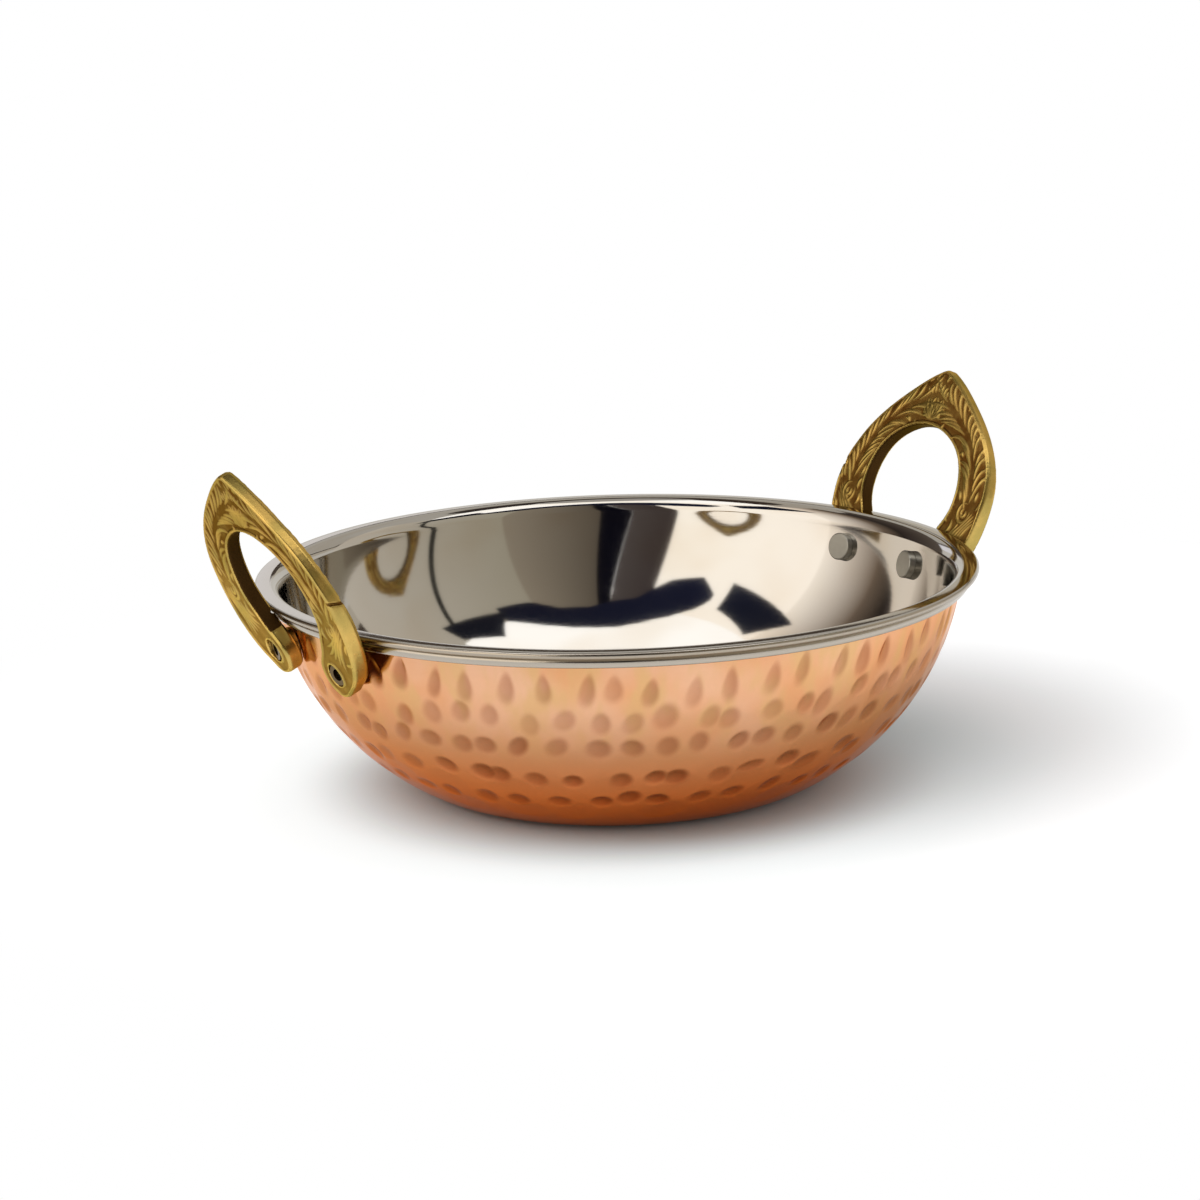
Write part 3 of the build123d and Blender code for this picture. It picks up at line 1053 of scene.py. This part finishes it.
@dataclass
class ArchHandle:
    """A cast handle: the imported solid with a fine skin, engraved on both faces."""

    side: str
    node: Piece
    rim: BowlCurve
    finish: Material
    ornament: Ornament
    lean: float = 22.7
    set_in: float = 1.1 * MM
    thickness: float = 3.4 * MM
    cell: float = 0.15 * MM
    skin_reach: float = 1.2
    ease_factor: float = 0.5
    ease_passes: int = 6
    wall_share: float = 0.2
    wall_step: int = 3
    border: float = 0.55 * MM
    border_slope: float = 0.35 * MM
    inner_depth: float = 0.30 * MM
    outer_depth: float = 0.28 * MM
    worn_edge: float = 1.05 * MM
    worn_reach: float = 2.4 * MM
    worn_fade: float = 10.0 * MM
    hole_middle: float = 7.5 * MM
    hole_reach: float = 15.0 * MM
    hole_oval: float = 1.1
    hole_share: float = 0.42
    # Painted shade level for the walls of the hole.
    hole_shade_level: float = 1.38
    outer_share: float = 0.8
    # Darker towards the top of the outer face.
    upper_darkening: float = 0.3
    # A painted shadow line along the outer side of one leg, with no cut in the surface.
    shadow_line_rise: Pair = (7.9 * MM, 8.6 * MM)
    shadow_line_start: float = 24.3 * MM

    def build(self) -> Piece:
        """Build, dress and place the handle."""
        mesh = self._fine_skin()
        points = np.empty(len(mesh.vertices) * 3, np.float32)
        mesh.vertices.foreach_get("co", points)
        points = points.reshape(-1, 3).astype(float)
        axes, origin = self._plate()
        local = (points - origin) @ axes
        local, hollow_and_shade = self._engrave(local)
        mesh.vertices.foreach_set("co", (local @ axes.T + origin).astype(np.float32).ravel())
        mesh.update()
        mesh.shade_smooth()
        mesh.materials.clear()
        mesh.materials.append(self.finish)
        name = "handle_" + self.side
        piece = bpy.data.objects.new("brass_" + name, mesh)
        bpy.context.scene.collection.objects.link(piece)
        carry(piece, Field.HOLLOW_AND_SHADE, hollow_and_shade)
        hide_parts(name)
        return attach(piece, "root")

    def _plate(self) -> tuple[Array, Array]:
        """The plate's directions (along the rim, up it, outward) as columns, and its zero point."""
        hand = 1.0 if self.side == "right" else -1.0
        tilt = math.radians(self.lean)
        along = np.array([0.0, hand, 0.0])
        up = np.array([hand * math.sin(tilt), 0.0, math.cos(tilt)])
        outward = np.array([hand * math.cos(tilt), 0.0, -math.sin(tilt)])
        origin = np.array([hand * (self.rim.rim_radius - self.set_in), 0.0, self.rim.height])
        return np.stack([along, up, outward], -1), origin

    def _fine_skin(self) -> bpy.types.Mesh:
        """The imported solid's surface, remade in small even cells."""
        copy = bpy.data.objects.new("skin", self.node.data.copy())
        bpy.context.scene.collection.objects.link(copy)
        remesh = copy.modifiers.new("cells", "REMESH")
        remesh.mode = "VOXEL"
        remesh.voxel_size = self.cell
        ease = copy.modifiers.new("ease", "SMOOTH")
        ease.factor = self.ease_factor
        ease.iterations = self.ease_passes
        graph = bpy.context.evaluated_depsgraph_get()
        mesh = bpy.data.meshes.new_from_object(copy.evaluated_get(graph))
        bpy.data.objects.remove(copy)
        mesh.name = "engraved_" + self.side
        return mesh

    def _near_hole(self, local: Array) -> Array:
        """Whether points on the plate lie within reach of the hole's middle, above the feet."""
        rise = local[:, 1] - self.hole_middle
        near = np.hypot(local[:, 0] / self.hole_oval, rise) < self.hole_reach
        return near & (local[:, 1] > -self.hole_middle / 2)

    def _engrave(self, local: Array) -> tuple[Array, Array]:
        """Sink the ground between the strokes on both faces.

        Args:
            local: points on the plate, in metres.

        Returns:
            The moved points, and how deep each lies in the ground: 0 to 1, or more on the walls of
            the hole, where it gives painted shade; 1 along the painted shadow line.
        """
        thick = self.thickness
        hollow_and_shade = np.zeros(len(local))
        walls = local[np.abs(local[:, 2] - thick / 2) < self.wall_share * thick][::self.wall_step]
        outline = self._tree(walls)
        outer_edge = self._tree(walls[~self._near_hole(walls) & (walls[:, 1] > 0)])
        upper = np.clip(local[:, 1] / self.worn_fade - 0.5, 0, 1)
        edge_gap = self._gaps(outer_edge, local)
        worn = self.worn_edge * upper * np.clip(1 - edge_gap / self.worn_reach, 0, 1) ** 2
        strokes = self.ornament.strokes()
        for face, depth in ((0.0, self.inner_depth), (thick, -self.outer_depth)):
            on_face = np.nonzero(np.abs(local[:, 2] - face) < self.skin_reach * self.cell)[0]
            flat = local[on_face]
            gap = self._gaps(outline, flat)
            lift = np.zeros(len(flat))
            for stroke in strokes:
                lift = np.maximum(lift, stroke.lift(flat[:, :2] / MM))
            field = eased(np.clip((gap - self.border) / self.border_slope, 0, 1))
            sunk = field * (1 - lift)
            flat[:, 2] = np.where(gap > self.border / 2, face, flat[:, 2]) + depth * sunk
            local[on_face] = flat
            # Patina in the ground of the outer face, and darker towards the top.
            outer = self.outer_share * sunk + self.upper_darkening * upper[on_face]
            hollow_and_shade[on_face] = sunk if depth > 0 else outer
        local[:, 2] += worn * (1 - local[:, 2] / thick)
        # Painted shade on the walls of the hole.
        inside = np.abs(local[:, 2] - thick / 2) < self.hole_share * thick
        in_hole = self._near_hole(local) & inside
        hollow_and_shade[in_hole] = np.maximum(hollow_and_shade[in_hole], self.hole_shade_level)
        # Painted shadow line: a thin band on the outer side of one leg, with no cut in the surface.
        level = (local @ self._plate()[0].T)[:, 2]
        in_shadow_line = (level > self.shadow_line_rise[0]) & (level < self.shadow_line_rise[1])
        hollow_and_shade[in_shadow_line & (local[:, 0] > self.shadow_line_start)] = 1.0
        return local, hollow_and_shade

    @staticmethod
    def _gaps(tree: KDTree, places: Array) -> Array:
        """Distance across the plate from each place to a tree's nearest."""
        return np.array([tree.find((place[0], place[1], 0.0))[2] for place in places])

    @staticmethod
    def _tree(places: Array) -> KDTree:
        """Search tree of places on the plate."""
        tree = KDTree(len(places))
        for number, place in enumerate(places):
            tree.insert((place[0], place[1], 0.0), number)
        tree.balance()
        return tree


# Studio and camera


@dataclass(frozen=True)
class PhotoView:
    """The photograph's viewpoint, as a camera that looks at the middle of the rim."""

    bearing: float = -32.77
    elevation: float = 12.616
    roll: float = -1.543
    distance: float = 0.7
    lens: float = 101.0
    rim_height: float = 0.045
    shift: Pair = (-0.01382, -0.0290)
    sensor: float = 36.0
    clip: Pair = (0.01, 60.0)

    def facing(self) -> Matrix:
        """Turn from the view's own directions (right, away, up) to the frame's."""
        return Matrix.Rotation(math.radians(self.bearing), 3, "Z")

    def make_camera(self) -> Piece:
        """Create the camera and make it the scene's."""
        tilt = math.radians(self.elevation)
        away = Vector((0.0, math.cos(tilt), -math.sin(tilt)))
        place = Vector((0.0, 0.0, self.rim_height)) - away * self.distance
        right, up = Vector((1.0, 0.0, 0.0)), Vector((0.0, math.sin(tilt), math.cos(tilt)))
        turn = math.radians(self.roll)
        rolled_right = right * math.cos(turn) + up * math.sin(turn)
        rolled_up = up * math.cos(turn) - right * math.sin(turn)
        spin = self.facing()
        axes = Matrix([spin @ rolled_right, spin @ rolled_up, spin @ -away]).transposed()
        data = bpy.data.cameras.new("photo_camera")
        data.sensor_width = self.sensor
        data.lens = self.lens
        data.shift_x, data.shift_y = self.shift
        data.clip_start, data.clip_end = self.clip
        camera = bpy.data.objects.new("photo_camera", data)
        camera.matrix_world = Matrix.Translation(spin @ place) @ axes.to_4x4()
        bpy.context.scene.collection.objects.link(camera)
        bpy.context.scene.camera = camera
        return camera


@dataclass(frozen=True)
class Card:
    """A sheet of the studio's surroundings between two edges of (bearing, elevation) in degrees.

    Bearings are counted from straight ahead of the camera, positive to the right. The colour
    runs from the edges' first points to their last, and stays the same where no end is given.
    """

    name: str
    low: tuple[Pair, ...]
    high: tuple[Pair, ...]
    start: Colour
    end: Colour | None = None
    strength: float = 1.0
    distance: float = 1.5
    on_metal: bool = True

    @staticmethod
    def edge(line: tuple[Pair, ...], steps: Array) -> Array:
        """Points at shares of the way along an edge's bearings."""
        knots = np.array(line, float)
        bearings = knots[0, 0] + steps * (knots[-1, 0] - knots[0, 0])
        order = np.argsort(knots[:, 0])
        return np.stack([bearings, np.interp(bearings, knots[order, 0], knots[order, 1])], -1)


@dataclass
class Studio:
    """Floor, surroundings and plain white background."""

    view: PhotoView
    floor: PaleFloor = PaleFloor()
    floor_reach: float = 12.0
    room_tint: Colour = (1.0, 0.98, 0.95)
    room_level: float = 0.8
    card_level: float = 1.2
    card_steps: int = 41
    cards: tuple[Card, ...] = (
        Card("left_wall", ((-155, -8), (-96, -8)), ((-165, 56), (-96, 56)),
             (1.0, 0.95, 0.86), (1.0, 0.93, 0.84), 1.30, 1.62),
        Card("left_end", ((-96, -8), (-70, -8)), ((-96, 56), (-66, 56)),
             (1.0, 0.92, 0.82), (0.16, 0.12, 0.09), 1.15, 1.6),
        Card("left_dark", ((-70, -8), (-56, -8)), ((-66, 56), (-56, 56)),
             (0.16, 0.12, 0.09), (0.02, 0.016, 0.014), 1.0, 1.6),
        Card("right_wall", ((60, -8), (138, -8)), ((60, 47), (138, 52)),
             (0.57, 0.53, 0.46), (0.36, 0.33, 0.26), 1.0, 1.6),
        Card("back_wall", ((138, -8), (184, -8)), ((138, 52), (176, 56)),
             (0.28, 0.24, 0.185), (0.08, 0.065, 0.05), 1.0, 1.6),
        Card("post", ((176.5, -8), (190, -8)), ((169.5, 54), (175.5, 54)), (0.004, 0.004, 0.008)),
        Card("post_side", ((190, -8), (205.5, -8)), ((175.5, 56), (195.5, 56)),
             (0.085, 0.072, 0.068), (0.05, 0.038, 0.036)),
        Card("cable", ((110, 3), (112.5, 3)), ((94.5, 42), (97, 42)), (0.003, 0.003, 0.004)),
        Card("beam",
             ((120, 44), (137, 46), (150, 52), (165, 53.5), (178, 51.5), (190, 50), (197, 45),
              (205, 40), (218, 37), (226, 44)),
             ((120, 51), (135, 58), (150, 62.5), (165, 64.5), (180, 65), (195, 62.5), (210, 58),
              (222, 52), (226, 47)),
             (0.008, 0.009, 0.02), (0.01, 0.012, 0.03), distance=1.45),
        Card("right_corner", ((90, 40), (124, 47)), ((92, 48), (110, 56)),
             (0.008, 0.009, 0.016), distance=1.44),
        Card("left_corner", ((-128, 37), (-88, 42)), ((-128, 50), (-102, 55)),
             (0.01, 0.012, 0.025), distance=1.44),
        Card("far_left", ((-58, 2), (-26, 2)), ((-58, 50), (-26, 50)),
             (0.03, 0.022, 0.02), (0.10, 0.08, 0.065), distance=1.7),
        Card("far_low", ((-26, 2), (62, 2)), ((-26, 12.2), (62, 12.2)),
             (0.56, 0.54, 0.50), distance=1.7),
        Card("far_side_left", ((-26, 11), (-3.5, 11)),
             ((-26, 18), (-7.5, 18), (-6, 14.3), (-3.5, 14.3)),
             (0.80, 0.80, 0.86), (0.66, 0.64, 0.62), distance=1.69),
        Card("far_side", ((-3.5, 12.2), (3.5, 12.2)), ((-3.5, 14.3), (3.5, 14.3)),
             (0.66, 0.64, 0.62), (0.46, 0.42, 0.35), distance=1.7),
        Card("far_side_right", ((3.5, 12.2), (62, 12.2)),
             ((3.5, 14.3), (5.5, 14.3), (7, 18), (62, 18)),
             (0.46, 0.42, 0.35), distance=1.7),
        Card("far_high", ((-26, 12.5), (62, 12.5)), ((-26, 50), (62, 50)),
             (0.06, 0.045, 0.035), distance=1.715),
        Card("far_upper", ((-94, 46), (-27, 46), (-26, 20), (62, 20), (63, 46), (90, 46)),
             ((-94, 62), (90, 62)), (0.44, 0.42, 0.38), distance=1.71),
        Card("far_top", ((-94, 61), (90, 61)), ((-94, 78), (90, 78)),
             (0.05, 0.036, 0.03), (0.035, 0.03, 0.026), distance=1.72),
        Card("ceiling", ((-180, 77), (180, 77)), ((-180, 89.9), (180, 89.9)),
             (0.40, 0.385, 0.36), distance=1.71),
        Card("top_light", ((86, 44), (274, 44)), ((86, 78), (274, 78)),
             (1.0, 0.99, 0.97), strength=1.38, distance=1.75),
        Card("key", ((-152, 26), (-102, 26)), ((-152, 54), (-102, 54)),
             (1.0, 0.99, 0.97), strength=3.0, distance=1.4, on_metal=False),
    )

    def build(self) -> None:
        """Make the floor, the cards and the background."""
        self._make_floor()
        for card in self.cards:
            self._make_card(card)
        self._make_background()

    def _make_floor(self) -> None:
        """A large flat sheet under the bowl."""
        corners = np.array([(-1, -1, 0), (1, -1, 0), (1, 1, 0), (-1, 1, 0)]) * self.floor_reach
        smooth_piece("floor", corners, np.array([[0, 1, 2, 3]]), self.floor.material())

    def _make_card(self, card: Card) -> None:
        """One glowing sheet, curved round the bowl, that the camera itself doesn't see."""
        count = self.card_steps
        steps = np.linspace(0.0, 1.0, count)
        along, up = np.meshgrid(steps, steps)
        low, high = card.edge(card.low, steps), card.edge(card.high, steps)
        angles = np.radians(low + up[..., None] * (high - low))
        bearing, rise = angles[..., 0], angles[..., 1]
        level = np.cos(rise)
        ahead = np.stack([level * np.sin(bearing), level * np.cos(bearing), np.sin(rise)], -1)
        points = card.distance * ahead.reshape(-1, 3) @ np.array(self.view.facing()).T
        number = np.arange(count - 1)
        first = (number[:, None] * count + number[None, :]).ravel()
        faces = np.stack([first, first + 1, first + 1 + count, first + count], -1)
        finish = CardGlow(self.card_level * card.strength).material("glow_" + card.name)
        sheet = smooth_piece("card_" + card.name, points, faces, finish)
        start, end = np.array(card.start), np.array(card.end or card.start)
        tint = np.ones((count, count, 4), np.float32)
        tint[..., :3] = start + along[..., None] * (end - start)
        layer = sheet.data.attributes.new(Field.TINT.value, "FLOAT_COLOR", "POINT")
        layer.data.foreach_set("color", tint.ravel())
        sheet.visible_camera = False
        sheet.visible_glossy = card.on_metal
        sheet.visible_diffuse = not card.on_metal

    def _make_background(self) -> None:
        """A white world for what the camera and the metal see, and soft grey light for the rest."""
        world = bpy.data.worlds.new("white_room")
        bpy.context.scene.world = world
        sheet = ShaderSheet(world)
        room = {"Color": self.room_tint, "Strength": self.room_level}
        glow = sheet.node("ShaderNodeBackground", None, room)
        white = sheet.node("ShaderNodeBackground", None, {"Color": WHITE, "Strength": 1.0})
        sheet.finish(sheet.node("ShaderNodeMixShader", None, {0: sheet.seen(), 1: glow, 2: white}))


# Rivets


@dataclass(frozen=True)
class Rivets:
    """The four rivets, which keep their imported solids."""

    nodes: dict[str, Piece]
    finish: RivetSteel = RivetSteel()

    def dress(self) -> list[str]:
        """Give each rivet its finish and return their names."""
        material = self.finish.material()
        names = sorted(name for name in self.nodes if name.startswith("rivet"))
        for name in names:
            mesh = self.nodes[name].data
            mesh.materials.clear()
            mesh.materials.append(material)
        return names


def main() -> None:
    """Build every piece in order."""
    logging.basicConfig(level=logging.INFO, format="%(name)s: %(message)s")
    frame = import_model()
    bpy.context.scene.view_settings.view_transform = "Standard"
    view = PhotoView()
    view.make_camera()
    rim_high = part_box("steel_liner")[1]
    curve = BowlCurve(rim_radius=rim_high.x, height=rim_high.z)
    log.info("copper: %s", CopperBowl(curve).build().name)
    log.info("steel: %s", SteelLiner(curve).build().name)
    log.info("rivets: %s", ", ".join(Rivets(frame["nodes"]).dress()))
    brass = EngravedBrass().material()
    for side in ("left", "right"):
        handle = ArchHandle(side, frame["nodes"]["handle_" + side], curve, brass, Ornament())
        log.info("handle: %s", handle.build().name)
    Studio(view).build()


if __name__ == "__main__":
    main()
